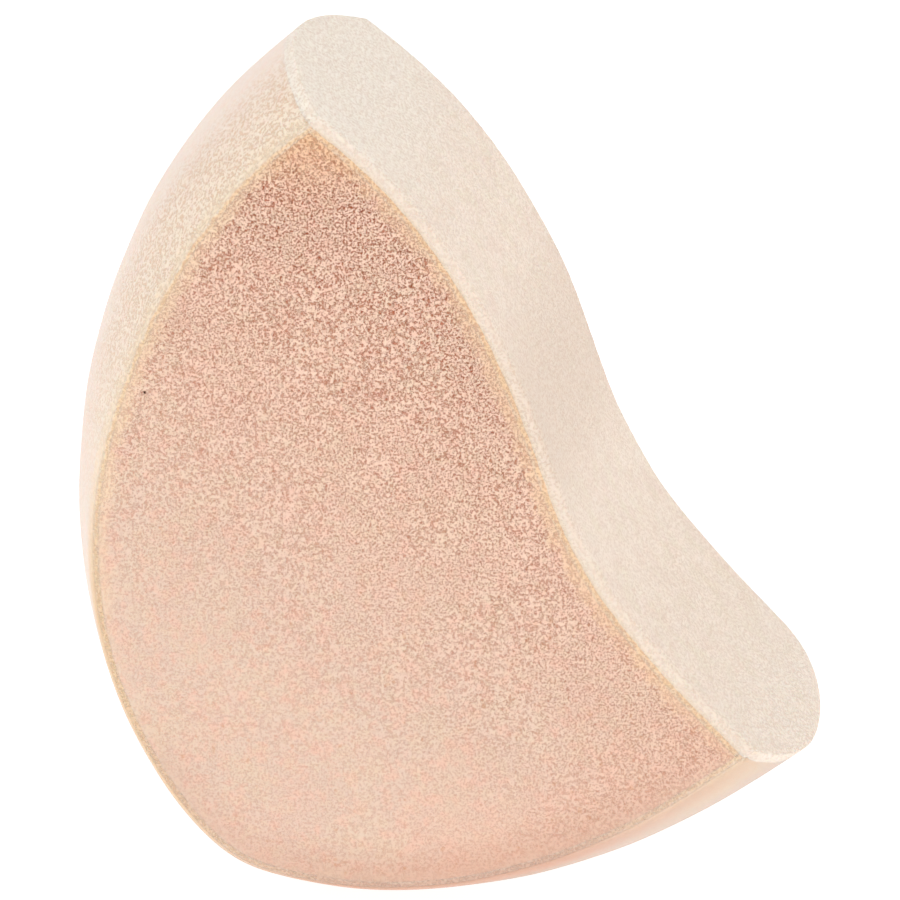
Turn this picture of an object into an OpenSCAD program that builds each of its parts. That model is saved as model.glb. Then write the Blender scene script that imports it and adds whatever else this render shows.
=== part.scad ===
// Contoured makeup sponge, a thick teardrop of foam standing on its base.
// The flat front face is sliced foam. The side wall swells past it and rolls over into a
// gently domed back. An S-shaped cut through the whole depth runs from the tip to the lower
// right corner, and a velvet facing is bonded on it.
// X runs to the right across the front face, Y runs from the front face to the back, Z is up.

/* [Front face] */
// Width of the front outline, from its left side to its lower right corner
face_w = 47.7; // [42:0.1:56]
// Height of the front outline, from its base to the tip
face_h = 58.5; // [52:0.1:68]

/* [Body] */
// Thickness of the whole sponge at the middle of its back
thickness = 26; // [21:0.1:32]
// Swell of the side wall past the front outline, where it swells most
side_swell = 4.5; // [2.5:0.1:6]
// Drop of the domed back from its middle to its left and right sides
crown_drop_w = 0.2; // [0:0.1:1.5]
// Drop of the domed back from its middle to its tip and base
crown_drop_h = 1.9; // [0:0.1:3]
// Depth to which the swollen base is flattened where the sponge stands
foot_depth = 0.5; // [0.3:0.05:0.9]

/* [Outer skin] */
// Thickness of the cream foam skin over the side wall and the back
skin_t = 0.8; // [0.5:0.05:1.2]
// Thickness to which that skin thins out at the front face
skin_edge_t = 0.2; // [0.1:0.01:0.3]
// Thickness of the amber bond between the skin and the core
skin_bond_t = 0.4; // [0.25:0.01:0.5]

/* [Velvet facing] */
// Thickness of the velvet facing on the S-shaped cut
facing_t = 0.95; // [0.5:0.05:1.2]
// Thickness of the amber bond between the facing and the core
facing_bond_t = 0.4; // [0.25:0.01:0.5]

/* [Hidden] */

// Stations down the left side from the tip, along the base and up to the lower right corner.
// Each gives its place across and up the front face, and how far the wall stands out past
// the front outline there: first where it is widest, then at the back, as shares of the swell
wall_shares = [
    [0.343, 1.000, 0.88, -0.15],
    [0.194, 0.898, 0.77, 0.01],
    [0.063, 0.709, 0.80, 0.04],
    [-0.021, 0.469, 0.50, 0.06],
    [0.026, 0.236, 0.41, 0.06],
    [0.168, 0.061, 0.66, 0.10],
    [0.270, 0.017, 0.58, 0.05],
    [0.516, -0.003, 0.54, 0.03],
    [0.800, 0.082, 0.85, 0.08],
    [1.000, 0.208, 0.92, -0.13],
];

// Places across and up the front face that shape the S-cut, from the tip to the corner
cut_shares = [
    [0.343, 1.000],
    [0.470, 0.916],
    [0.586, 0.782],
    [0.672, 0.629],
    [0.716, 0.496],
    [0.802, 0.379],
    [0.911, 0.282],
    [1.000, 0.208],
];

// Share of the depth at which the side wall is widest
widest_share = 0.48;
// How the wall rises from the front edge, how it falls towards the back, and how round the
// back edge is along the wall and at the tip
front_power = 1.9;
back_power = 1.9;
rim_round = 2;
tip_round = 1;
// How fast the skin thickens behind its thin front edge
feather_power = 6;
// Share of the S-cut at each end over which the facing follows the wall's edge
cut_end_share = 0.05;
// Step along a curve over which its direction is taken
curve_step = 0.05;

// Facets along the outline, through the depth of the wall, and across the back
cols = 40;
wall_rows = 10;
back_rows = 4;

// Plane curves

function unit(v) = v / norm(v);
function mix(a, b, share) = a + (b - a) * share;

// Smooth curve drawn by points p, which starts on the first and ends on the last
function spline(p, u) =
    let (n = len(p) - 1,
        i = min(max(floor(u), 0), n - 1),
        t = u - i,
        before = i > 0 ? p[i - 1] : 2 * p[0] - p[1],
        after = i < n - 1 ? p[i + 2] : 2 * p[n] - p[n - 1])
    (pow(1 - t, 3) * before
        + (3 * pow(t, 3) - 6 * t * t + 4) * p[i]
        + (3 * t + 3 * t * t - 3 * pow(t, 3) + 1) * p[i + 1]
        + pow(t, 3) * after) / 6;

// Direction at a right angle to a direction, clockwise of it
function clockwise(d) = [d[1], -d[0]];

cut_points = [for (s = cut_shares) [s[0] * face_w, s[1] * face_h]];
cut_last = len(cut_points) - 1;
tip_dir = unit(cut_points[1] - cut_points[0]);
corner_dir = unit(cut_points[cut_last] - cut_points[cut_last - 1]);

// Point of the S-cut at a share of its length, a depth below its surface
function cut_point(share, depth) =
    let (u = share * cut_last,
        dir = unit(spline(cut_points, u + curve_step) - spline(cut_points, u - curve_step)))
    spline(cut_points, u) + depth * clockwise(dir);

wall_points = [for (s = wall_shares) [s[0] * face_w, s[1] * face_h]];
wall_last = len(wall_points) - 1;

// How far the wall stands out past the front outline at a station and a share of the depth
function stand_out(i, v) =
    let (widest = side_swell * wall_shares[i][2],
        rear = side_swell * wall_shares[i][3],
        fall = (v - widest_share) / (1 - widest_share),
        round = i == 0 ? tip_round : rim_round)
    v <= widest_share
        ? widest * (1 - pow(1 - v / widest_share, front_power))
        : mix(widest, rear, 1 - pow(max(0, 1 - pow(fall, back_power)), 1 / round));

// Direction in which a station moves as the wall swells: along the S-cut at both its ends
function out_dir(i) =
    i == 0 ? -tip_dir
        : i == wall_last ? corner_dir
        : clockwise(unit(wall_points[i + 1] - wall_points[i - 1]));

function wall_curve(v, inset) =
    [for (i = [0 : wall_last]) wall_points[i] + (stand_out(i, v) - inset) * out_dir(i)];

// Surfaces

// The skin is thin at the front edge and full further back, the bond has one thickness
function skin_depth(v) = mix(skin_edge_t, skin_t, 1 - pow(1 - v, feather_power));
function bond_depth(v) = skin_depth(v) + skin_bond_t;

// Place through the depth of a row of the wall, closer together near the front and the back
function row_share(k) = (1 - cos(180 * k / wall_rows)) / 2;

// Depth of the domed back at a point of the front view
function back_depth(p) =
    thickness
        - crown_drop_w * pow(2 * p[0] / face_w - 1, 2)
        - crown_drop_h * pow(2 * p[1] / face_h - 1, 2);

// Insets of the wall surface at level 0, outside, 1, under the skin, and 2, under the bond
function inset(level, v) = level == 0 ? 0 : level == 1 ? skin_depth(v) : bond_depth(v);

function raw_wall(level) =
    [for (k = [0 : wall_rows])
        let (v = row_share(k), curve = wall_curve(v, inset(level, v)),
            rim = wall_curve(1, inset(level, 1)))
        [for (j = [0 : cols])
            let (u = wall_last * j / cols,
                p = spline(curve, u),
                y = v * (back_depth(spline(rim, u)) - inset(level, 1)))
            [p[0], y, p[1]]]];

// Height at which the swollen base is flattened, worked out from its lowest point
outside = raw_wall(0);
foot_z = min([for (row = outside, p = row) p[2]]) + foot_depth;

function flattened(p, lift) = [p[0], p[1], max(p[2], foot_z + lift)];

// A row's end, moved in along the wall until it lies the given depth below the S-cut
function trimmed(end, next, inward, depth) =
    let (step = next - end)
    end + step * depth / ([step[0], step[2]] * inward);

function trimmed_row(row, depth) =
    [for (j = [0 : cols])
        j == 0 ? trimmed(row[0], row[1], clockwise(tip_dir), depth)
            : j == cols ? trimmed(row[cols], row[cols - 1], clockwise(corner_dir), depth)
            : row[j]];

function cut_column_share(j) = mix(cut_end_share, 1 - cut_end_share, (j - 1) / (cols - 2));

function on_back(p, level) = [p[0], back_depth(p) - inset(level, 1), p[1]];

// The wall and the back of a level, ending at a depth below the S-cut, as rows of points
function body_rows(level, depth) =
    let (wall = [for (k = [0 : wall_rows])
            let (row = raw_wall(level)[k])
            trimmed_row([for (p = row) flattened(p, inset(level, row_share(k)))], depth)],
        rim = wall[wall_rows])
    concat(wall, [for (r = [1 : back_rows])
        [for (j = [0 : cols])
            j == 0 || j == cols ? rim[j]
                : let (from = [rim[j][0], rim[j][2]], to = cut_point(cut_column_share(j), depth))
                on_back(mix(from, to, r / back_rows), level)]]);

last_row = wall_rows + back_rows;

// Number of a point, where all the back's rows end in the rim's two corners
function at(k, j) = (j == 0 || j == cols ? min(k, wall_rows) : k) * (cols + 1) + j;

function real_faces(faces) = [for (f = faces) if (f[0] != f[1] && f[1] != f[2] && f[2] != f[0]) f];
function turned(faces) = [for (f = faces) [f[0], f[2], f[1]]];
function raised(faces, by) = [for (f = faces) [f[0] + by, f[1] + by, f[2] + by]];

body_faces = real_faces([for (k = [0 : last_row - 1], j = [0 : cols - 1])
    each [[at(k, j), at(k, j + 1), at(k + 1, j + 1)], [at(k, j), at(k + 1, j + 1), at(k + 1, j)]]]);

// Points round the edge of those rows: the front outline, one end of the cut, the back edge
// of the cut, and its other end
body_edge = concat(
    [for (j = [0 : cols]) at(0, j)],
    [for (k = [1 : wall_rows]) at(k, cols)],
    [for (j = [cols - 1 : -1 : 1]) at(last_row, j)],
    [for (k = [wall_rows : -1 : 1]) at(k, 0)]);

// Points round the S-cut at a depth, bounded by a level of the wall: down through the tip,
// along the back, up through the corner, and back along the front
function cut_loop(level, depth) =
    let (rows = body_rows(level, depth))
    concat(
        [for (k = [0 : wall_rows]) rows[k][0]],
        [for (j = [1 : cols - 1]) rows[last_row][j]],
        [for (k = [wall_rows : -1 : 0]) rows[k][cols]],
        [for (j = [cols - 1 : -1 : 1])
            let (p = cut_point(cut_column_share(j), depth))
            [p[0], 0, p[1]]]);

cut_count = 2 * (wall_rows + cols);
tip_back = wall_rows;
corner_back = wall_rows + cols;
corner_front = 2 * wall_rows + cols;

// Numbers of the loop's points at column j, at the back and at the front
function loop_back(j) = tip_back + j;
function loop_front(j) = corner_front + cols - j;

cut_faces = concat(
    [for (k = [0 : wall_rows - 1]) [k, k + 1, loop_front(1)]],
    [[tip_back, loop_back(1), loop_front(1)]],
    [for (j = [1 : cols - 2])
        each [[loop_back(j), loop_back(j + 1), loop_front(j + 1)],
            [loop_back(j), loop_front(j + 1), loop_front(j)]]],
    [[loop_back(cols - 1), corner_back, loop_front(cols - 1)]],
    [for (k = [corner_back : corner_front - 1]) [k, k + 1, loop_front(cols - 1)]]);

// Solids

// The band between two loops of the same number of points
function band(first, second) =
    let (n = len(first))
    [for (i = [0 : n - 1])
        let (next = (i + 1) % n)
        each [[first[i], second[i], second[next]], [first[i], second[next], first[next]]]];

// A layer that follows the wall and the back, between two levels
module body_layer(outer, inner, depth) {
    points = concat([for (r = body_rows(outer, depth)) each r], [for (r = body_rows(inner, depth)) each r]);
    half = len(points) / 2;
    polyhedron(
        points = points,
        faces = concat(
            body_faces,
            turned(raised(body_faces, half)),
            band(body_edge, [for (i = body_edge) i + half])),
        convexity = 6);
}

// A layer that follows the S-cut, between two depths below its surface
module cut_layer(level, top, bottom) {
    outer_loop = cut_loop(level, top);
    inner_loop = cut_loop(level, bottom);
    polyhedron(
        points = concat(outer_loop, inner_loop),
        faces = concat(
            cut_faces,
            turned(raised(cut_faces, cut_count)),
            band([for (i = [0 : cut_count - 1]) i], [for (i = [0 : cut_count - 1]) i + cut_count])),
        convexity = 4);
}

// A solid cut by the plane of the front face and by the plane of the foot, raised by lift
module cut_flat(lift) {
    intersection() {
        translate([-face_w, 0, foot_z + lift]) cube([3 * face_w, 2 * thickness, 2 * face_h]);
        children();
    }
}

module foam_core() {
    depth = facing_t + facing_bond_t;
    rows = body_rows(2, depth);
    loop = cut_loop(2, depth);
    body_count = len(rows) * (cols + 1);
    // The loop's points that the body's own rows already hold, and its front points after them
    shared = [for (i = [0 : cut_count - 1])
        i <= tip_back ? at(i, 0)
            : i < corner_back ? at(last_row, i - tip_back)
            : i <= corner_front ? at(corner_front - i, cols)
            : body_count + i - corner_front - 1];
    front = [for (j = [0 : cols])
        j == 0 ? at(0, 0) : j == cols ? at(0, cols) : shared[loop_front(j)]];
    front_faces = real_faces([for (j = [0 : cols - 1])
        each [[at(0, j), front[j], front[j + 1]], [at(0, j), front[j + 1], at(0, j + 1)]]]);
    color([0.90, 0.75, 0.66])
        cut_flat(skin_edge_t) polyhedron(
            points = concat([for (r = rows) each r], [for (i = [corner_front + 1 : cut_count - 1]) loop[i]]),
            faces = concat(body_faces, [for (f = cut_faces) [for (i = f) shared[i]]], front_faces),
            convexity = 4);
}

module outer_skin() {
    color([0.94, 0.87, 0.79]) cut_flat(0) body_layer(0, 1, facing_t);
}

module skin_bond() {
    color([0.91, 0.72, 0.47]) body_layer(1, 2, facing_t);
}

module velvet_facing() {
    color([0.94, 0.88, 0.81]) cut_layer(0, 0, facing_t);
}

module velvet_bond() {
    color([0.91, 0.72, 0.47]) cut_layer(2, facing_t, facing_t + facing_bond_t);
}

// The part stands on its foot with its box centred over the origin

all_x = [for (row = outside, p = row) p[0]];
module placed() {
    translate([-(min(all_x) + max(all_x)) / 2, -thickness / 2, -foot_z]) children();
}

placed() foam_core();
placed() outer_skin();
placed() skin_bond();
placed() velvet_facing();
placed() velvet_bond();
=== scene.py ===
"""Makeup sponge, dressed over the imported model.

It has sliced foam, a moulded skin, a velvet facing and the amber bond between them.
"""

import math

import bmesh
import bpy
import numpy as np
from bpy.props import FloatProperty, FloatVectorProperty, PointerProperty
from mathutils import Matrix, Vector, geometry, noise
from mathutils.kdtree import KDTree


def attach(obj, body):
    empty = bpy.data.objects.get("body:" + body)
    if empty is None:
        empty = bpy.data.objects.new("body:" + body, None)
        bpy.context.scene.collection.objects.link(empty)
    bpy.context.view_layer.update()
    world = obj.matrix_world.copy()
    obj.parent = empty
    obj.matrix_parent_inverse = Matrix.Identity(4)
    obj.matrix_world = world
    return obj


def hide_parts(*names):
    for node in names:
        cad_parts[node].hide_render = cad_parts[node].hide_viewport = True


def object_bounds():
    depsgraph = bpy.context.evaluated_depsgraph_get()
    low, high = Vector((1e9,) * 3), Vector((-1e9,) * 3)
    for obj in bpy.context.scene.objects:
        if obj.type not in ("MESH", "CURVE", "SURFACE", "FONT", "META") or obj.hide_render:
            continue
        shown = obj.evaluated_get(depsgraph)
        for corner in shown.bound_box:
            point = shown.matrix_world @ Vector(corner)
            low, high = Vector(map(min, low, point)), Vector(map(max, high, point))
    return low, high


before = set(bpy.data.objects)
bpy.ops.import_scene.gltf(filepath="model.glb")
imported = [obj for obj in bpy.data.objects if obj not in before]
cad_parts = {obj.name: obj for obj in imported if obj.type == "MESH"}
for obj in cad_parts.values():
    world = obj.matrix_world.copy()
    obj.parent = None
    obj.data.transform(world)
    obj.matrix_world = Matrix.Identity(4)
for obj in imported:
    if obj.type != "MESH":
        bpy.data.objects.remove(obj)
CAD_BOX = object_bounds()
FRONT_Y = CAD_BOX[0][1]

bl_info = {
    "name": "Makeup Sponge",
    "version": (1, 0, 0),
    "blender": (4, 5, 0),
    "location": "3D Viewport > Sidebar > Sponge",
    "description": "Builds a contoured makeup sponge with porous foam, smooth skin and a velvet facing",
    "category": "Object",
}

MM = 0.001

# Limits for reading and remaking the solids' meshes
SAME_POINT = 0.002 * MM
TOUCHING = 0.01 * MM
SHORTEST_EDGE = 0.3 * MM
QUAD_FACE_ANGLE = math.radians(35)
QUAD_SHAPE_ANGLE = math.radians(60)
CREASE_ANGLE = math.radians(38)
SMOOTH_ANGLE = math.radians(50)
SOFT_CREASE = 0.5
FLAT_NORMAL = -0.99

NET_STRAY = 0.22
NET_MARGIN = 0.7
NET_SEED = 3

# Relief of the pores: the finer part of its noise, and where in the noise the pits begin and end
FINE_PITS = 0.4
FINE_PITS_SCALE = 1.8
PIT_EDGE, PIT_FLOOR = 0.08, 0.6
PORE_FADE = 0.35 * MM

# How strongly the pores show: its change for each metre to the right and upwards, and its least value
PORE_STRENGTH_GRADIENT = np.array([0.0108, 0.0175]) / MM
PORE_STRENGTH_AT_ORIGIN = 0.13
LEAST_PORE_STRENGTH = 0.29
FULL_COLOUR_PORE_STRENGTH = 0.8

# The one deep pinhole, upper left on the sliced face, with painted shade inside it
PINHOLE = np.array([-20.15, 38.8]) * MM
PINHOLE_DEPTH = 2.5
PINHOLE_FLOOR, PINHOLE_EDGE = 0.06 * MM, 0.16 * MM

# Wavelengths of the slow unevenness. The vector noise starts from the clock unless it has a seed
SWAY_WAVE = 6 * MM
SWAY_SEED = 8
FACE_WAVE = 7 * MM
NAP_WAVE = 0.7 * MM

# Front edge: how many times its rounding the roll reaches back
ROLL_REACH = 5

# Pitches of the fine open cells, and sizes of the patches of colour
FOAM_CELL = 0.165 * MM
SKIN_CELL = 0.26 * MM
SOFT_CELL = 0.21 * MM
FINE_PATCH = 0.9 * MM
FOAM_PATCH = 4 * MM
SKIN_PATCH = 5 * MM
VELVET_PATCH = 2.2 * MM

# Noise of the colours, as scale, detail and roughness: the borders of what has soaked in, and specks
BORDER_NOISE = (1100.0, 3.0, 0.65)
SPECK_NOISE = (1600.0, 1.0, 0.5)
SOAK_WANDER = 2.4 * MM
FILM_WANDER = 1.7

# Light inside the foam, for each colour
LIGHT_REACH = 0.6 * MM
LIGHT_REACH_BY_COLOUR = (1.0, 0.55, 0.35)

# Studio
FLOOR_SIZE = 8
FLOOR_DROP = 0.02 * MM
PAPER_SHADES = ((0.39, 0.39, 0.39), (0.41, 0.41, 0.41))
PAPER_NOISE = (400.0, 3.0, 0.5)
LAMP_SIZE = 0.9
LAMP_AIM = (0, 0, 0.03)
KEY_PLACE = (-0.95, -0.5, 0.7)
SIDE_PLACE = (0.5, -0.3, 1.0)
SENSOR_WIDTH = 36
FAR_CLIP = 20


# Sizes, colours and studio values that a user may change


def length(name, description, default):
    return FloatProperty(name=name, description=description, default=default, unit="LENGTH", precision=5)


def colour(name, description, default):
    return FloatVectorProperty(
        name=name, description=description, default=default, subtype="COLOR", size=3, min=0, max=1
    )


def angle(name, description, degrees):
    return FloatProperty(name=name, description=description, default=math.radians(degrees), subtype="ANGLE")


def strength(name, description, default, unit="NONE"):
    return FloatProperty(name=name, description=description, default=default, min=0, unit=unit)


class SpongeFoamSettings(bpy.types.PropertyGroup):
    cell_step: length("Face detail", "Distance between the points of the sliced face", 0.12 * MM)
    pore_pitch: length("Pore pitch", "Distance between neighbouring pores of the sliced face", 0.25 * MM)
    pore_depth: length("Pore depth", "Depth of the deepest pores", 0.11 * MM)
    face_sway: length("Face unevenness", "Slow rise and fall of the sliced face", 0.08 * MM)
    wall_edge_round: length("Front edge rounding", "How far the front rolls over at the side wall", 0.3 * MM)
    cut_edge_round: length("Cut edge rounding", "How far the front rolls over at the S-shaped cut", 0.55 * MM)
    nap_height: length("Nap height", "Height of the velvet's soft relief", 0.02 * MM)
    sway: length("Unevenness", "How far the soft sponge strays from its true form", 0.1 * MM)
    fullness: length("Fullness", "How far the S-shaped side fills out towards the back", 0.32 * MM)
    bond_overlap: length("Bond overlap", "How far the bond films reach into the foam beside them", 0.03 * MM)


class SpongeColourSettings(bpy.types.PropertyGroup):
    foam_pale: colour("Foam", "Sliced foam at the base, where its pores are faint", (0.835, 0.63, 0.508))
    # Pink of the pore walls, partly painted highlight on their tops
    foam_deep: colour("Foam at the tip", "Sliced foam where its pores are open", (1.0, 0.70, 0.55))
    # Painted shade where the front face turns away at the base
    foam_foot_shade: colour("Foam at the foot", "Foam and skin where they meet at the base", (0.69, 0.40, 0.29))
    foam_warm: colour("Warm foam", "Broad warm patches of the sliced foam", (0.91, 0.56, 0.45))
    foam_yellow: colour("Yellow foam", "Broad yellow patches of the sliced foam", (0.88, 0.70, 0.50))
    foam_warm_fine: colour("Warm mottling", "Small warm patches of the sliced foam", (0.97, 0.57, 0.435))
    foam_yellow_fine: colour("Yellow mottling", "Small yellow patches of the sliced foam", (0.87, 0.67, 0.49))
    blush: colour("Blush", "Sliced foam along the wall at the lower right", (0.92, 0.575, 0.44))
    speck: colour("Specks", "Few dark specks of the sliced foam", (0.72, 0.36, 0.18))
    # Painted shade inside the pores, over their modelled relief
    pore: colour("Pore", "Inside of an open pore", (0.44, 0.09, 0.025))
    paler_pore_shade: colour("Lighter pore", "Inside of the lighter pores", (0.44, 0.12, 0.035))
    # Painted shade, near black, inside the pinhole
    pinhole: colour("Pinhole", "Inside of the one deep pinhole", (0.05, 0.02, 0.01))

    amber: colour("Amber bond", "Edge of the bond film", (1.0, 0.66, 0.41))
    amber_tip: colour("Amber at the tip", "Sliced foam round the tip, soaked with amber", (0.98, 0.58, 0.33))
    peach: colour("Peach edge", "Foam and skin where they meet at the side wall", (1.0, 0.72, 0.49))
    golden: colour("Golden edge", "Foam and skin where they meet at the lower left", (0.86, 0.59, 0.38))

    skin: colour("Skin", "Moulded skin towards the tip", (0.935, 0.785, 0.69))
    skin_low: colour("Lower skin", "Moulded skin towards the base", (0.835, 0.70, 0.63))
    # Painted shade on the skin where it faces down round the base
    skin_under_shade: colour("Skin underneath", "Moulded skin round the base", (0.54, 0.385, 0.295))
    skin_warm: colour("Warm skin", "Broad warm patches of the skin", (0.93, 0.74, 0.63))
    skin_yellow: colour("Yellow skin", "Broad yellow patches of the skin", (0.93, 0.80, 0.64))
    skin_warm_fine: colour("Warm skin mottling", "Small warm patches of the skin", (0.98, 0.73, 0.63))
    skin_yellow_fine: colour("Yellow skin mottling", "Small yellow patches of the skin", (0.96, 0.79, 0.60))
    skin_grain: colour("Grainy skin", "Moulded skin near the front face", (1.0, 0.815, 0.655))
    skin_edge: colour("Skin edge", "Skin soaked with amber along the front edge", (1.0, 0.76, 0.55))
    skin_corner: colour("Skin corner", "Skin below the corner of the cut", (0.81, 0.62, 0.42))
    # Painted shade in the skin's fine pits
    skin_pit_shade: colour("Skin pits", "Inside of the skin's fine pits", (0.79, 0.515, 0.335))

    velvet: colour("Velvet", "Velvet facing", (1.0, 0.83, 0.695))
    # Painted light on the velvet's two ends
    velvet_end_highlight: colour("Velvet at the tip", "Velvet facing where it is palest", (1.0, 0.885, 0.765))
    # Painted shade in the velvet's bend
    velvet_bend_shade: colour("Velvet in the bend", "Velvet facing where it bends in", (0.85, 0.69, 0.56))
    velvet_strip: colour("Velvet strip", "Smooth strip of velvet along the front", (0.92, 0.77, 0.65))
    velvet_edge: colour("Velvet edge", "Cut edge of the velvet, beside the amber", (0.93, 0.74, 0.575))
    velvet_warm: colour("Warm velvet", "Warm patches of the velvet", (0.93, 0.72, 0.60))
    velvet_yellow: colour("Yellow velvet", "Yellow patches of the velvet", (0.92, 0.79, 0.60))
    # Painted shade in the velvet's fine pits
    velvet_pit_shade: colour("Velvet pits", "Inside of the velvet's fine pits", (0.77, 0.57, 0.435))


class SpongeStudioSettings(bpy.types.PropertyGroup):
    azimuth: angle("Azimuth", "Camera direction round the sponge", 7)
    elevation: angle("Elevation", "Camera height above the sponge", 19)
    distance: length("Camera distance", "Distance from the camera to the sponge", 1.5)
    view_width: length("View width", "Width that the picture takes in at the sponge", 900 / 14 * MM)
    view_across: length("View across", "Picture's middle, to the right of the origin", 0.045 * MM)
    view_up: length("View up", "Picture's middle, above the origin along the picture", 29.22 * MM)
    room_light: strength("Room light", "Strength of the even white light from all round", 0.68)
    key_light: strength("Key light", "Power of the soft light on the left", 3.0, "POWER")
    side_light: strength("Side light", "Power of the soft light above on the right", 3.3, "POWER")
    floor_glow: strength("Floor glow", "Light that the white table gives off", 0.85)


def foam_settings():
    return bpy.context.scene.sponge_foam


def colours():
    return bpy.context.scene.sponge_colours


def studio():
    return bpy.context.scene.sponge_studio


# Mesh tools


def deselect():
    for other in bpy.context.selected_objects:
        other.select_set(False)


def take(piece):
    """Selects one piece alone and makes it the active one."""
    deselect()
    bpy.context.view_layer.objects.active = piece
    piece.select_set(True)


def soft_copy(node, name, levels, backing=()):
    """A smooth piece in the form of a node.

    Its real edges stay crisp, but for those that stand clear of the pieces behind it.
    """
    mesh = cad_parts[node].data.copy()
    mesh.name = name
    mesh.materials.clear()
    piece = bpy.data.objects.new(name, mesh)
    bpy.context.scene.collection.objects.link(piece)
    take(piece)
    bpy.ops.object.mode_set(mode="EDIT")
    bpy.ops.mesh.select_all(action="SELECT")
    bpy.ops.mesh.customdata_custom_splitnormals_clear()
    bpy.ops.mesh.remove_doubles(threshold=SAME_POINT)
    bpy.ops.mesh.tris_convert_to_quads(face_threshold=QUAD_FACE_ANGLE, shape_threshold=QUAD_SHAPE_ANGLE)
    bpy.ops.object.mode_set(mode="OBJECT")
    behind = KDTree(sum(len(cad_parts[other].data.vertices) for other in backing))
    for other in backing:
        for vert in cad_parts[other].data.vertices:
            behind.insert(vert.co, 0)
    behind.balance()
    bm = bmesh.new()
    bm.from_mesh(mesh)
    crease = bm.edges.layers.float.new("crease_edge")
    for edge in bm.edges:
        if edge.calc_face_angle(0) > CREASE_ANGLE:
            clear = backing and all(behind.find(v.co)[2] > TOUCHING for v in edge.verts)
            edge[crease] = SOFT_CREASE if clear else 1
    bm.to_mesh(mesh)
    bm.free()
    modifier = piece.modifiers.new("Subdivision", "SUBSURF")
    modifier.levels = modifier.render_levels = levels
    bpy.ops.object.modifier_apply(modifier=modifier.name)
    return piece


def points_of(piece, kind="co"):
    """Each point's place, or its normal."""
    values = np.empty(len(piece.data.vertices) * 3)
    piece.data.vertices.foreach_get(kind, values)
    return values.reshape(-1, 3)


def move_points(piece, co):
    piece.data.vertices.foreach_set("co", co.ravel())
    piece.data.update()


def keep_values(piece, name, values):
    """Stores one number for each point, for a material to read."""
    layer = piece.data.attributes.new(name, "FLOAT", "POINT")
    layer.data.foreach_set("value", np.asarray(values, np.float32))


# Front outline, where the side wall and the S-shaped cut meet the front face


def front_edges(node):
    """The node's outward edges on the front plane, as pairs of points in the front view.

    The short ones inside the node are left out.
    """
    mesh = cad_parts[node].data
    middle = Vector(points_of(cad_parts["foam_core"]).mean(axis=0))
    pairs = []
    for face in mesh.polygons:
        corners = [mesh.vertices[v].co for v in face.vertices]
        ends = [p for p in corners if p.y < FRONT_Y + SAME_POINT]
        if len(ends) == 2 and (face.center - middle).dot(face.normal) > 0:
            pairs.append([(p.x, p.z) for p in ends])
    pairs = np.array(pairs)
    return pairs[np.hypot(*(pairs[:, 1] - pairs[:, 0]).T) > SHORTEST_EDGE]


def edge_distance(p, edges):
    """Distance in the front view from each point to the nearest of the edges."""
    best = np.full(len(p), np.inf)
    for a, b in edges:
        ab = b - a
        share = np.clip((p - a) @ ab / (ab @ ab), 0, 1)
        gap = p - a - share[:, None] * ab
        best = np.minimum(best, np.einsum("ij,ij->i", gap, gap))
    return np.sqrt(best)


def inside_edges(p, edges):
    """Which points lie inside the closed outline that the edges make."""
    odd = np.zeros(len(p), bool)
    for a, b in edges:
        if a[1] != b[1]:
            crosses = (a[1] > p[:, 1]) != (b[1] > p[:, 1])
            odd ^= crosses & (p[:, 0] < a[0] + (p[:, 1] - a[1]) * (b[0] - a[0]) / (b[1] - a[1]))
    return odd


WALL_EDGES = front_edges("outer_skin")
CUT_EDGES = front_edges("velvet_facing")


def roll_over(piece):
    """Rolls the front edge back softly, the same way on every piece that reaches it."""
    foam = foam_settings()
    co = points_of(piece)
    reach = ROLL_REACH * foam.wall_edge_round
    near = np.flatnonzero(co[:, 1] - FRONT_Y < reach)
    p = co[near][:, [0, 2]]
    beyond = ~inside_edges(p, np.concatenate([WALL_EDGES, CUT_EDGES]))
    gaps = [edge_distance(p, WALL_EDGES), edge_distance(p, CUT_EDGES)]
    nearest = np.argmin(gaps, axis=0)
    push = np.zeros(len(near))
    for number, radius in enumerate((foam.wall_edge_round, foam.cut_edge_round)):
        gap = np.minimum(np.where(beyond & (nearest == number), 0, gaps[number]), radius)
        push = np.maximum(push, radius - np.sqrt(radius**2 - (radius - gap) ** 2))
    co[near, 1] += push * (1 - (co[near, 1] - FRONT_Y) / reach) ** 2
    move_points(piece, co)


def open_front(piece):
    """Takes the front face off a piece and gives the points round the hole, in order."""
    bm = bmesh.new()
    bm.from_mesh(piece.data)
    flat = [f for f in bm.faces if f.normal.y < FLAT_NORMAL]
    front = [f for f in flat if f.calc_center_median().y < FRONT_Y + TOUCHING]
    bmesh.ops.delete(bm, geom=front, context="FACES")
    edge = next(e for e in bm.edges if e.is_boundary)
    start, here, loop = edge.verts[0], edge.verts[1], [edge.verts[0]]
    while here != start:
        loop.append(here)
        edge = next(e for e in here.link_edges if e.is_boundary and e != edge)
        here = edge.other_vert(here)
    for number, vert in enumerate(bm.verts):
        vert.index = number
    numbers = [v.index for v in loop]
    bm.to_mesh(piece.data)
    bm.free()
    return numbers


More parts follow.
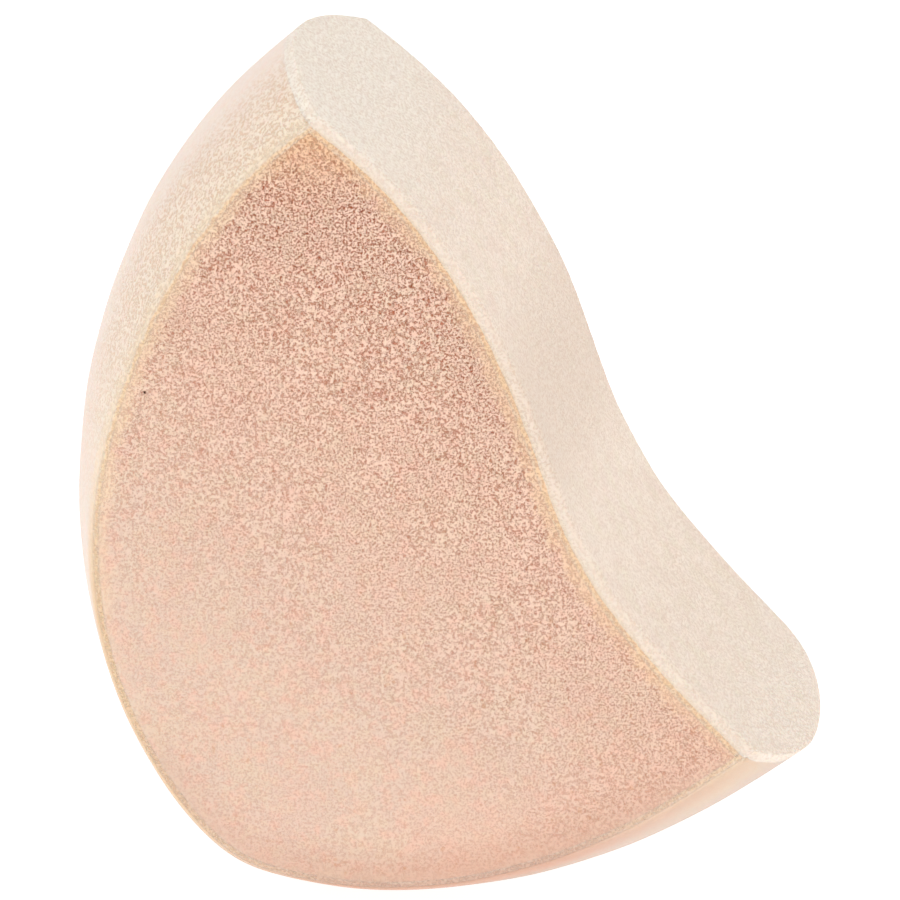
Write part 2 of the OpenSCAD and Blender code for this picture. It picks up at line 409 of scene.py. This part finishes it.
def close_front(piece, loop):
    """Fills the hole with an even net of faces, as fine as the pores need. Gives the net's point numbers."""
    step = foam_settings().cell_step * 1
    co = points_of(piece)
    rim = co[loop][:, [0, 2]]
    low, high = rim.min(axis=0), rim.max(axis=0)
    count = np.ceil((high - low) / step).astype(int)
    net = np.stack(np.meshgrid(*(np.arange(n) for n in count), indexing="ij"), -1)
    net = net.reshape(-1, 2).astype(float)
    net[:, 0] += 0.5 * (net[:, 1] % 2)
    net += np.random.default_rng(NET_SEED).uniform(-NET_STRAY, NET_STRAY, net.shape)
    net = low + net * step
    edges = np.stack([rim, np.roll(rim, -1, axis=0)], axis=1)
    net = net[inside_edges(net, edges)]
    net = net[edge_distance(net, edges) > NET_MARGIN * step]
    flat = np.vstack([rim, net]) / MM
    ring = [(i, (i + 1) % len(loop)) for i in range(len(loop))]
    made = geometry.delaunay_2d_cdt([Vector(p) for p in flat], ring, [], 1, 1e-6)
    if len(made[0]) != len(flat):
        raise RuntimeError("the front face's net lost its rim")
    number = np.concatenate([loop, len(co) + np.arange(len(net))])
    order = np.empty(len(flat), int)
    for new, old in enumerate(made[3]):
        order[new] = number[old[0]]
    faces = [tuple(p.vertices) for p in piece.data.polygons] + [tuple(order[list(f)]) for f in made[2]]
    points = np.vstack([co, np.insert(net, 1, FRONT_Y, axis=1)])
    mesh = bpy.data.meshes.new(piece.name)
    mesh.from_pydata(points.tolist(), [], faces)
    old = piece.data
    piece.data = mesh
    bpy.data.meshes.remove(old)
    return number


# Relief


def smoothstep(low, high, values):
    t = np.clip((values - low) / (high - low), 0, 1)
    return t * t * (3 - 2 * t)


def pore_strength(co):
    """How strongly the foam's pores show: most at the tip and along the cut, least at the lower left."""
    return np.clip(PORE_STRENGTH_AT_ORIGIN + co[:, [0, 2]] @ PORE_STRENGTH_GRADIENT, LEAST_PORE_STRENGTH, 1)


def waves(co, wavelength, sample=noise.noise):
    """Smooth noise at each point."""
    return np.array([sample(Vector(p) / wavelength) for p in co])


def pore_relief(co):
    """Share of its full depth that a pore has at each point: short winding pits with walls between them."""
    pitch = foam_settings().pore_pitch
    fine = np.array([noise.noise(Vector(p) * (FINE_PITS_SCALE / pitch)) for p in co])
    return smoothstep(PIT_EDGE, PIT_FLOOR, waves(co, pitch) + FINE_PITS * fine)


def sway(piece):
    """Lets a piece stray a little from its true form, as soft foam does. Pieces that meet stray alike."""
    foam = foam_settings()
    co = points_of(piece)
    noise.seed_set(SWAY_SEED)
    stray = foam.sway * waves(co, SWAY_WAVE, noise.noise_vector)
    backwards = (co[:, 1] - FRONT_Y) / (CAD_BOX[1][1] - FRONT_Y)
    rightwards = smoothstep(-12 * MM, 6 * MM, co[:, 0])
    stray[:, 0] += foam.fullness * smoothstep(0, 0.7, backwards) * rightwards
    move_points(piece, co + stray)


def swell(piece, height, shares=1.0, flat_front=False):
    """Moves a piece's surface outwards by a height, by a share of it at each point."""
    shift = height * points_of(piece, "normal") * np.reshape(shares, (-1, 1))
    if flat_front:
        shift[:, 1] = 0
    move_points(piece, points_of(piece) + shift)


def finish_piece(piece, slot, material, *nodes, padded=True):
    """Rolls the front edge, shades a piece, gives it its material and hands it to the frame."""
    roll_over(piece)
    sway(piece)
    take(piece)
    bpy.ops.object.shade_smooth_by_angle(angle=SMOOTH_ANGLE)
    piece.data.materials.append(material)
    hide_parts(*nodes)
    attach(piece, "root")


# Shader tools


def feed(tree, socket, value):
    """Gives a socket its value: a link from another socket, a colour or a number."""
    if isinstance(value, bpy.types.NodeSocket):
        tree.links.new(value, socket)
    else:
        socket.default_value = (*value, 1) if socket.type == "RGBA" else value


def put(tree, kind, settings=None, **inputs):
    """Adds a node. An input is given by its name, or as s0, s1 and so on by its place."""
    made = tree.nodes.new("ShaderNode" + kind)
    for key, value in (settings or {}).items():
        setattr(made, key, value)
    for key, value in inputs.items():
        by_place = key[0] == "s" and key[1:].isdigit()
        feed(tree, made.inputs[int(key[1:]) if by_place else key], value)
    return made


def maths(tree, operation, a, b, clamp=False):
    return put(tree, "Math", {"operation": operation, "use_clamp": clamp}, s0=a, s1=b).outputs[0]


def times(tree, a, b):
    return maths(tree, "MULTIPLY", a, b)


def ramp(tree, value, low, high, to_low=0.0, to_high=1.0):
    """A smooth change from one value to another between two limits."""
    smooth = {"interpolation_type": "SMOOTHSTEP"}
    return put(tree, "MapRange", smooth, s0=value, s1=low, s2=high, s3=to_low, s4=to_high).outputs[0]


def falling(tree, value, low, high):
    """A smooth change from one to nothing between two limits."""
    return ramp(tree, value, low, high, 1.0, 0.0)


def blend(tree, share, first, second):
    """One colour with a share of another over it."""
    made = tree.nodes.new("ShaderNodeMix")
    made.data_type = "RGBA"
    for number, value in ((0, share), (6, first), (7, second)):
        feed(tree, made.inputs[number], value)
    return made.outputs[2]


def noise_value(tree, vector, scale, detail=2.0, rough=0.5):
    noisy = put(tree, "TexNoise", Vector=vector, Scale=scale, Detail=detail, Roughness=rough)
    return noisy.outputs["Fac"]


def parts(tree, vector):
    """The three coordinates of a place."""
    return put(tree, "SeparateXYZ", s0=vector).outputs[:3]


def scaled(tree, vector, size):
    """A place, counted in lengths of a size."""
    share = maths(tree, "DIVIDE", 1.0, size)
    return put(tree, "VectorMath", {"operation": "SCALE"}, s0=vector, Scale=share).outputs[0]


def wander(tree, place, amount):
    """A number that strays either way from nothing, for the uneven border of what has soaked in."""
    return times(tree, maths(tree, "SUBTRACT", noise_value(tree, place, *BORDER_NOISE), 0.5), amount)


def stored(tree, name):
    """A number that was stored at each point."""
    made = tree.nodes.new("ShaderNodeAttribute")
    made.attribute_name = name
    return made.outputs["Fac"]


# Shader groups that the materials share


def new_group(name, inputs, outputs):
    """An empty group. Each input is given with its kind and its value, and each output is a number."""
    tree = bpy.data.node_groups.new(name, "ShaderNodeTree")
    for label, kind, value in inputs:
        socket = tree.interface.new_socket(label, in_out="INPUT", socket_type="NodeSocket" + kind)
        if value is not None:
            socket.default_value = value
    for label in outputs:
        tree.interface.new_socket(label, in_out="OUTPUT", socket_type="NodeSocketFloat")
    return tree, tree.nodes.new("NodeGroupInput").outputs, tree.nodes.new("NodeGroupOutput").inputs


def open_cells_group():
    """Fine open cells: short winding pits with walls between them, a little more open in some places."""
    inputs = [("Vector", "Vector", None), ("Pitch", "Float", 0.3 * MM)]
    tree, given, out = new_group("Open cells", inputs, ["Pits", "Hue"])
    place = scaled(tree, given[0], given[1])
    cells = falling(tree, noise_value(tree, place, 1.0, 2.0, 0.75), 0.39, 0.535)
    patches = ramp(tree, noise_value(tree, place, 0.13, 1.0), 0.35, 0.65, 0.94, 1.06)
    tree.links.new(maths(tree, "MULTIPLY", cells, patches, clamp=True), out["Pits"])
    tree.links.new(ramp(tree, noise_value(tree, place, 0.45, 1.0), 0.4, 0.6), out["Hue"])
    return tree


def mottling_group():
    """Soft uneven patches of one size, one mask for the warm ones and one for the yellow."""
    inputs = [("Vector", "Vector", None), ("Size", "Float", 3 * MM)]
    tree, given, out = new_group("Soft mottling", inputs, ["Warm", "Yellow"])
    place = scaled(tree, given[0], given[1])
    moved = put(tree, "VectorMath", {"operation": "ADD"}, s0=place, s1=(13.0, 5.0, 29.0)).outputs[0]
    tree.links.new(ramp(tree, noise_value(tree, place, 1.0), 0.45, 0.7), out["Warm"])
    tree.links.new(ramp(tree, noise_value(tree, moved, 1.0), 0.45, 0.7), out["Yellow"])
    return tree


def soak_group():
    """Where the amber bond has soaked into the foam beside an edge, with an uneven border."""
    inputs = [("Distance", 0.0), ("Full", 0.2 * MM), ("Gone", 1 * MM)]
    inputs = [("Vector", "Vector", None)] + [(label, "Float", value) for label, value in inputs]
    tree, given, out = new_group("Amber soak", inputs, ["Mask"])
    far = maths(tree, "ADD", given["Distance"], wander(tree, given["Vector"], SOAK_WANDER))
    tree.links.new(falling(tree, far, given["Full"], given["Gone"]), out["Mask"])
    return tree


def rim_group():
    """Parts of the front rim: its foot, where the pink runs out to the outline and shade is painted, and its
    golden lower left.
    """
    tree, given, out = new_group("Rim parts", [("Vector", "Vector", None)], ["Foot", "Left"])
    x, _, z = parts(tree, given[0])
    from_left = ramp(tree, x, -16 * MM, -4 * MM, 0.45, 1.0)
    across = times(tree, from_left, ramp(tree, x, 8 * MM, 18 * MM, 1.0, 0.5))
    tree.links.new(times(tree, falling(tree, z, 9 * MM, 16 * MM), across), out["Foot"])
    left = times(tree, falling(tree, z, 22 * MM, 34 * MM), falling(tree, x, -18 * MM, -12 * MM))
    tree.links.new(left, out["Left"])
    return tree


SHARED_GROUPS = {
    "Open cells": open_cells_group,
    "Soft mottling": mottling_group,
    "Amber soak": soak_group,
    "Rim parts": rim_group,
}


def shared(tree, name, **inputs):
    """Adds a shared group, which is built when it is first needed. Gives its outputs."""
    made = tree.nodes.new("ShaderNodeGroup")
    made.node_tree = bpy.data.node_groups.get(name) or SHARED_GROUPS[name]()
    for key, value in inputs.items():
        feed(tree, made.inputs[key], value)
    return made.outputs


def mottled(tree, place, size, base, warm, yellow):
    """A colour with soft patches over it. The warm and the yellow ones are given as share and colour."""
    masks = shared(tree, "Soft mottling", Vector=place, Size=size)
    base = blend(tree, times(tree, masks["Warm"], warm[0]), base, warm[1])
    return blend(tree, times(tree, masks["Yellow"], yellow[0]), base, yellow[1])


def soaked_edge(tree, place, distance, full, gone):
    return shared(tree, "Amber soak", Vector=place, Distance=distance, Full=full, Gone=gone)["Mask"]


# Materials


def new_material(name, roughness, sheen, soft):
    """A material with its shader and object coordinates."""
    material = bpy.data.materials.new(name)
    material.use_nodes = True
    tree = material.node_tree
    shader = tree.nodes["Principled BSDF"]
    for label, value in (
        ("Roughness", roughness),
        ("Sheen Weight", sheen),
        ("Sheen Roughness", 0.6),
        ("Specular IOR Level", 0.2),
        ("Subsurface Weight", soft),
        ("Subsurface Radius", LIGHT_REACH_BY_COLOUR),
        ("Subsurface Scale", LIGHT_REACH),
    ):
        shader.inputs[label].default_value = value
    return material, tree, shader, tree.nodes.new("ShaderNodeTexCoord").outputs["Object"]


def surface(tree, shader, base, height, depth):
    """Gives a shader its colour and its finest relief."""
    tree.links.new(base, shader.inputs["Base Color"])
    bump = put(tree, "Bump", Height=height, Distance=-depth, Strength=1.0)
    tree.links.new(bump.outputs[0], shader.inputs["Normal"])


def pore_strength_nodes(tree, place):
    """The same change in pore strength over the face that the relief has."""
    dot = {"operation": "DOT_PRODUCT"}
    along = put(tree, "VectorMath", dot, s0=place, s1=(PORE_STRENGTH_GRADIENT[0], 0.0, PORE_STRENGTH_GRADIENT[1])).outputs["Value"]
    along = maths(tree, "ADD", along, PORE_STRENGTH_AT_ORIGIN)
    return maths(tree, "MINIMUM", maths(tree, "MAXIMUM", along, LEAST_PORE_STRENGTH), 1.0)


def sliced_foam_material():
    material, tree, shader, place = new_material("Sliced foam", 0.85, 0.1, 0.15)
    c = colours()
    x, _, z = parts(tree, place)
    pores_shown = pore_strength_nodes(tree, place)
    to_wall, to_cut, to_tip, relief = (stored(tree, name) for name in ("to_wall", "to_cut", "to_tip", "pore"))
    cells = shared(tree, "Open cells", Vector=place, Pitch=FOAM_CELL)
    rim = shared(tree, "Rim parts", Vector=place)

    # Pore walls paler where the pores show most, partly as painted highlight
    foam = blend(tree, ramp(tree, pores_shown, LEAST_PORE_STRENGTH, FULL_COLOUR_PORE_STRENGTH), c.foam_pale, c.foam_deep)
    foam = mottled(tree, place, FOAM_PATCH, foam, (0.2, c.foam_warm), (0.2, c.foam_yellow))
    foam = mottled(tree, place, FINE_PATCH, foam, (0.4, c.foam_warm_fine), (0.4, c.foam_yellow_fine))

    # Amber soaked in at the edges and round the tip
    at_cut = soaked_edge(tree, place, to_cut, 0.2 * MM, 1.2 * MM)
    at_wall = soaked_edge(tree, place, to_wall, 0.1 * MM, 1.2 * MM)
    at_tip = soaked_edge(tree, place, to_tip, 0.8 * MM, 7 * MM)
    foam = blend(tree, times(tree, at_wall, ramp(tree, z, 12 * MM, 35 * MM, 0.08, 0.65)), foam, c.peach)
    foam = blend(tree, times(tree, at_cut, 0.55), foam, c.amber)
    foam = blend(tree, times(tree, at_tip, 0.6), foam, c.amber_tip)

    # Blush at the lower right, deeper pink at the foot as painted shade, and a few specks
    blush = times(tree, ramp(tree, to_wall, 1 * MM, 9 * MM, 0.45, 0.0), ramp(tree, x, -6 * MM, 3 * MM))
    foam = blend(tree, blush, foam, c.blush)
    foot = times(tree, rim["Foot"], ramp(tree, to_wall, 0.0, 3.5 * MM, 0.5, 0.0))
    foam = blend(tree, foot, foam, c.foam_foot_shade)
    specks = ramp(tree, noise_value(tree, place, *SPECK_NOISE), 0.69, 0.79, 0.0, 0.35)
    foam = blend(tree, specks, foam, c.speck)

    # Pores, both the fine ones and the modelled ones, with painted shade inside them, fainter where the amber
    # fills them
    pits = maths(tree, "ADD", times(tree, cells["Pits"], 0.82), times(tree, relief, 0.28))
    soaked = maths(tree, "MAXIMUM", maths(tree, "MAXIMUM", at_cut, at_wall), times(tree, at_tip, 0.8))
    clear = times(tree, pores_shown, ramp(tree, soaked, 0.0, 1.0, 1.02, 0.55))
    depth = maths(tree, "MULTIPLY", pits, clear, clamp=True)
    # Painted shade inside the pores, deepest where they show most
    foam = blend(tree, depth, foam, blend(tree, cells["Hue"], c.pore, c.paler_pore_shade))
    # Painted shade, near black, inside the deep pinhole
    foam = blend(tree, ramp(tree, relief, 1.2, 2.2), foam, c.pinhole)
    surface(tree, shader, foam, times(tree, cells["Pits"], pores_shown), 0.06 * MM)
    return material


def moulded_skin_material():
    material, tree, shader, place = new_material("Moulded skin", 0.62, 0.1, 0.2)
    c = colours()
    x, y, z = parts(tree, place)
    behind = maths(tree, "SUBTRACT", y, FRONT_Y)
    high = ramp(tree, z, 20 * MM, 52 * MM)
    cells = shared(tree, "Open cells", Vector=place, Pitch=SKIN_CELL)
    rim = shared(tree, "Rim parts", Vector=place)

    base = blend(tree, high, c.skin_low, c.skin)
    base = mottled(tree, place, SKIN_PATCH, base, (0.25, c.skin_warm), (0.25, c.skin_yellow))
    near = times(tree, falling(tree, behind, 1 * MM, 10 * MM), ramp(tree, high, 0.0, 1.0, 0.15, 0.9))
    base = blend(tree, near, base, c.skin_grain)
    base = mottled(tree, place, FINE_PATCH, base, (0.4, c.skin_warm_fine), (0.25, c.skin_yellow_fine))
    # Painted shade where the skin faces down, less of it to the right
    faces_down = ramp(tree, stored(tree, "down"), 0.05, 0.7)
    under_shade = times(tree, faces_down, ramp(tree, x, -2 * MM, 16 * MM, 1.0, 0.55))
    base = blend(tree, under_shade, base, c.skin_under_shade)

    # The front edge: amber all round, warmer at the corner, pink at the foot as painted shade and golden at
    # the lower left
    ring = soaked_edge(tree, place, behind, 0.0, 1.1 * MM)
    base = blend(tree, times(tree, ring, 0.75), base, c.skin_edge)
    corner = times(tree, ramp(tree, x, 13 * MM, 22 * MM, 0.0, 0.6), falling(tree, behind, 1 * MM, 6 * MM))
    base = blend(tree, corner, base, c.skin_corner)
    base = blend(tree, times(tree, rim["Foot"], falling(tree, behind, 0.5 * MM, 3.5 * MM)), base, c.foam_foot_shade)
    base = blend(tree, times(tree, rim["Left"], falling(tree, behind, 0.3 * MM, 1.5 * MM)), base, c.golden)

    # Grain near the front edge, most of it high up, with painted shade in its pits
    grain = times(tree, falling(tree, behind, 3 * MM, 12.5 * MM), high)
    grain = maths(tree, "MAXIMUM", grain, times(tree, ring, 0.4))
    shown = times(tree, ramp(tree, grain, 0.0, 1.0, 0.12, 0.68), ramp(tree, ring, 0.0, 1.0, 1.0, 0.5))
    base = blend(tree, times(tree, cells["Pits"], shown), base, c.skin_pit_shade)
    tree.links.new(ramp(tree, cells["Pits"], 0.0, 1.0, 0.56, 0.72), shader.inputs["Roughness"])
    relief = times(tree, cells["Pits"], ramp(tree, grain, 0.0, 1.0, 0.2, 1.0))
    surface(tree, shader, base, relief, 0.05 * MM)
    return material


def velvet_material():
    material, tree, shader, place = new_material("Velvet foam", 0.9, 0.2, 0.2)
    c = colours()
    _, y, z = parts(tree, place)
    from_edge = stored(tree, "from_edge")
    cells = shared(tree, "Open cells", Vector=place, Pitch=SOFT_CELL)
    front = falling(tree, maths(tree, "SUBTRACT", y, FRONT_Y), 0.6 * MM, 1.4 * MM)
    strip = times(tree, ramp(tree, from_edge, 0.0, 0.4 * MM), front)
    edge = times(tree, ramp(tree, from_edge, 0.6 * MM, 0.9 * MM), front)

    base = mottled(tree, place, VELVET_PATCH, c.velvet, (0.45, c.velvet_warm), (0.45, c.velvet_yellow))
    # Painted light: the velvet paler at the tip and a little towards its lower end
    ends = maths(tree, "MAXIMUM", ramp(tree, z, 50 * MM, 59 * MM), ramp(tree, z, 12 * MM, 20 * MM, 0.4, 0.0))
    base = blend(tree, ends, base, c.velvet_end_highlight)
    # Painted shade where the velvet bends in, where its pits also show more
    middle = times(tree, ramp(tree, z, 28 * MM, 36 * MM), ramp(tree, z, 38 * MM, 48 * MM, 0.85, 0.0))
    base = blend(tree, middle, base, c.velvet_bend_shade)
    base = blend(tree, times(tree, strip, 0.8), base, c.velvet_strip)
    base = blend(tree, edge, base, c.velvet_edge)

    # Painted shade in the velvet's fine pits, most along the front strip and in the bend
    shown = maths(tree, "ADD", ramp(tree, strip, 0.0, 1.0, 0.58, 0.3), times(tree, middle, 0.35))
    base = blend(tree, times(tree, cells["Pits"], shown), base, c.velvet_pit_shade)
    surface(tree, shader, base, cells["Pits"], 0.03 * MM)
    return material


def film_material(name, outside, low, high):
    """Foam soaked with amber by one share at the base and one at the tip.

    It fades to the colour outside the film, and its cells show as strongly as the foam's.
    """
    material, tree, shader, place = new_material(name, 0.75, 0.05, 0.2)
    c = colours()
    z = parts(tree, place)[2]
    cells = shared(tree, "Open cells", Vector=place, Pitch=SOFT_CELL)
    rim = shared(tree, "Rim parts", Vector=place)
    across = maths(tree, "ADD", stored(tree, "across"), wander(tree, place, FILM_WANDER))

    base = blend(tree, ramp(tree, z, 20 * MM, 56 * MM, low, high), c.peach, c.amber)
    base = blend(tree, ramp(tree, across, -0.2, 0.55), outside, base)
    base = blend(tree, times(tree, rim["Left"], 0.8), base, c.golden)
    # Painted shade at the foot
    base = blend(tree, rim["Foot"], base, blend(tree, 0.6, c.foam_pale, c.foam_foot_shade))
    base = blend(tree, ramp(tree, across, 0.6, 1.1, 0.0, 0.5), base, c.foam_pale)
    depth = times(tree, cells["Pits"], ramp(tree, across, 0.0, 1.0, 0.1, 0.35))
    # Painted shade inside the film's cells
    base = blend(tree, times(tree, depth, pore_strength_nodes(tree, place)), base, c.pore)
    surface(tree, shader, base, cells["Pits"], 0.05 * MM)
    return material


# Operators, one for each piece or pair of like pieces and one for the stage


class SPONGE_OT_foam_core(bpy.types.Operator):
    """Build the foam body, with real pores over its sliced face"""

    bl_idname = "sponge.foam_core"
    bl_label = "Sliced Foam Body"

    def execute(self, context):
        foam = foam_settings()
        piece = soft_copy("foam_core", "sliced_foam", 2)
        loop = open_front(piece)
        rim = points_of(piece)[loop]
        tip, corner = rim[:, 2].argmax(), rim[:, 0].argmax()
        number = close_front(piece, loop)
        co = points_of(piece)
        flat = co[number][:, [0, 2]]
        turn = np.roll(rim, -tip, axis=0)[:, [0, 2]]
        cut = (corner - tip) % len(rim)
        sides = [turn[: cut + 1], np.vstack([turn[cut:], turn[:1]])]
        sides.sort(key=lambda side: side[:, 0].mean())
        to_wall, to_cut = (edge_distance(flat, np.stack([s[:-1], s[1:]], axis=1)) for s in sides)
        to_tip = np.hypot(*(flat - rim[tip][[0, 2]]).T)
        fade = smoothstep(0, PORE_FADE, np.minimum(to_wall, to_cut))
        pores = pore_relief(co[number]) * fade
        to_pinhole = np.hypot(*(flat - PINHOLE).T)
        pores += PINHOLE_DEPTH * smoothstep(-PINHOLE_EDGE, -PINHOLE_FLOOR, -to_pinhole)
        slow = waves(co[number], FACE_WAVE)
        co[number, 1] += foam.pore_depth * pores * pore_strength(co[number]) + foam.face_sway * slow * fade
        move_points(piece, co)
        for name, values in (("pore", pores), ("to_wall", to_wall), ("to_cut", to_cut), ("to_tip", to_tip)):
            full = np.zeros(len(co))
            full[number] = values
            keep_values(piece, name, full)
        finish_piece(piece, "sliced_foam", sliced_foam_material(), "foam_core")
        return {"FINISHED"}


class SPONGE_OT_outer_skin(bpy.types.Operator):
    """Build the smooth foam skin over the side wall and the back"""

    bl_idname = "sponge.outer_skin"
    bl_label = "Moulded Skin"

    def execute(self, context):
        piece = soft_copy("outer_skin", "moulded_skin", 3)
        # How far each point faces down, where the skin's shade is painted
        keep_values(piece, "down", -points_of(piece, "normal")[:, 2])
        finish_piece(piece, "moulded_skin", moulded_skin_material(), "outer_skin")
        return {"FINISHED"}


class SPONGE_OT_velvet_facing(bpy.types.Operator):
    """Build the velvet facing on the S-shaped cut, with softly rounded edges and a fine nap"""

    bl_idname = "sponge.velvet_facing"
    bl_label = "Velvet Facing"

    def execute(self, context):
        backing = ("velvet_bond", "outer_skin")
        piece = soft_copy("velvet_facing", "velvet_facing_foam", 4, backing)
        keep_values(piece, "from_edge", edge_distance(points_of(piece)[:, [0, 2]], CUT_EDGES))
        swell(piece, foam_settings().nap_height, waves(points_of(piece), NAP_WAVE))
        finish_piece(piece, "velvet_foam", velvet_material(), "velvet_facing")
        return {"FINISHED"}


class SPONGE_OT_amber_bonds(bpy.types.Operator):
    """Build the two amber bond films, which show as a fine line round the front face"""

    bl_idname = "sponge.amber_bonds"
    bl_label = "Amber Bonds"

    def execute(self, context):
        c = colours()
        films = (
            ("skin_bond", "skin_bond_film", WALL_EDGES, c.skin_grain, 0.1, 0.5),
            ("velvet_bond", "velvet_bond_film", CUT_EDGES, c.velvet_edge, 0.7, 1.0),
        )
        for node, name, edges, outside, low, high in films:
            piece = soft_copy(node, name, 2)
            co = points_of(piece)
            gap = edge_distance(co[:, [0, 2]], edges)
            front = gap[co[:, 1] < FRONT_Y + TOUCHING]
            across = (gap - front.min()) / (np.percentile(front, 90) - front.min())
            keep_values(piece, "across", np.clip(across, 0, 1))
            swell(piece, foam_settings().bond_overlap, flat_front=True)
            material = film_material(name.replace("_", " ").capitalize(), outside, low, high)
            finish_piece(piece, "amber_bond", material, node, padded=False)
        return {"FINISHED"}


def soft_light(name, power, place):
    data = bpy.data.lights.new(name, "AREA")
    data.shape = "DISK"
    data.size = LAMP_SIZE
    data.energy = power
    lamp = bpy.data.objects.new(name, data)
    lamp.location = place
    lamp.rotation_euler = (Vector(LAMP_AIM) - Vector(place)).to_track_quat("-Z", "Y").to_euler()
    bpy.context.scene.collection.objects.link(lamp)


def white_paper(glow):
    """A pale paper that gives off light, so that the floor runs out to white."""
    paper = bpy.data.materials.new("Studio paper")
    paper.use_nodes = True
    tree = paper.node_tree
    shader = tree.nodes["Principled BSDF"]
    shader.inputs["Roughness"].default_value = 0.9
    shader.inputs["Specular IOR Level"].default_value = 0.1
    shader.inputs["Emission Color"].default_value = (1, 1, 1, 1)
    shader.inputs["Emission Strength"].default_value = glow
    place = tree.nodes.new("ShaderNodeTexCoord").outputs["Object"]
    fibres = blend(tree, noise_value(tree, place, *PAPER_NOISE), *PAPER_SHADES)
    tree.links.new(fibres, shader.inputs["Base Color"])
    return paper


class SPONGE_OT_stage(bpy.types.Operator):
    """Set up the pale floor, the soft studio light and the camera"""

    bl_idname = "sponge.stage"
    bl_label = "Studio"

    def execute(self, context):
        scene, s = context.scene, studio()
        deselect()
        bpy.ops.mesh.primitive_plane_add(size=FLOOR_SIZE, location=(0, 0, -FLOOR_DROP))
        floor = context.object
        floor.name = "studio_floor"
        floor.data.transform(floor.matrix_world)
        floor.matrix_world.identity()
        floor.data.materials.append(white_paper(s.floor_glow))

        world = bpy.data.worlds.new("Soft room")
        world.use_nodes = True
        sky = world.node_tree.nodes["Background"]
        sky.inputs["Color"].default_value = (1, 1, 1, 1)
        sky.inputs["Strength"].default_value = s.room_light
        scene.world = world
        scene.view_settings.view_transform = "Standard"
        soft_light("key_softbox", s.key_light, KEY_PLACE)
        soft_light("side_softbox", s.side_light, SIDE_PLACE)

        side = Vector((math.cos(s.azimuth), math.sin(s.azimuth), 0))
        level = math.cos(s.elevation)
        towards = Vector((math.sin(s.azimuth) * level, -math.cos(s.azimuth) * level, math.sin(s.elevation)))
        rise = towards.cross(side)
        data = bpy.data.cameras.new("camera")
        data.sensor_width = SENSOR_WIDTH
        data.lens = SENSOR_WIDTH * s.distance / s.view_width
        data.clip_end = FAR_CLIP
        camera = bpy.data.objects.new("camera", data)
        aim = s.view_across * side + s.view_up * rise
        centre = Vector(np.mean(CAD_BOX, axis=0))
        camera.location = aim + ((centre - aim).dot(towards) + s.distance) * towards
        camera.rotation_euler = towards.to_track_quat("Z", "Y").to_euler()
        scene.collection.objects.link(camera)
        scene.camera = camera
        return {"FINISHED"}


class SPONGE_PT_panel(bpy.types.Panel):
    """Settings and steps of the makeup sponge"""

    bl_idname = "SPONGE_PT_panel"
    bl_label = "Makeup Sponge"
    bl_space_type = "VIEW_3D"
    bl_region_type = "UI"
    bl_category = "Sponge"

    def draw(self, context):
        for group in (foam_settings(), colours(), studio()):
            box = self.layout.box()
            for name in group.__annotations__:
                box.prop(group, name)
        for step in STEPS:
            self.layout.operator(step.bl_idname)


GROUPS = (
    (SpongeFoamSettings, "sponge_foam"),
    (SpongeColourSettings, "sponge_colours"),
    (SpongeStudioSettings, "sponge_studio"),
)
STEPS = (
    SPONGE_OT_foam_core,
    SPONGE_OT_outer_skin,
    SPONGE_OT_velvet_facing,
    SPONGE_OT_amber_bonds,
    SPONGE_OT_stage,
)


def register():
    for group, name in GROUPS:
        bpy.utils.register_class(group)
        setattr(bpy.types.Scene, name, PointerProperty(type=group))
    for step in (*STEPS, SPONGE_PT_panel):
        bpy.utils.register_class(step)


def unregister():
    for step in reversed((*STEPS, SPONGE_PT_panel)):
        bpy.utils.unregister_class(step)
    for group, name in reversed(GROUPS):
        delattr(bpy.types.Scene, name)
        bpy.utils.unregister_class(group)


def main():
    register()
    bpy.ops.sponge.foam_core()
    bpy.ops.sponge.outer_skin()
    bpy.ops.sponge.velvet_facing()
    bpy.ops.sponge.amber_bonds()
    bpy.ops.sponge.stage()


if __name__ == "__main__":
    main()
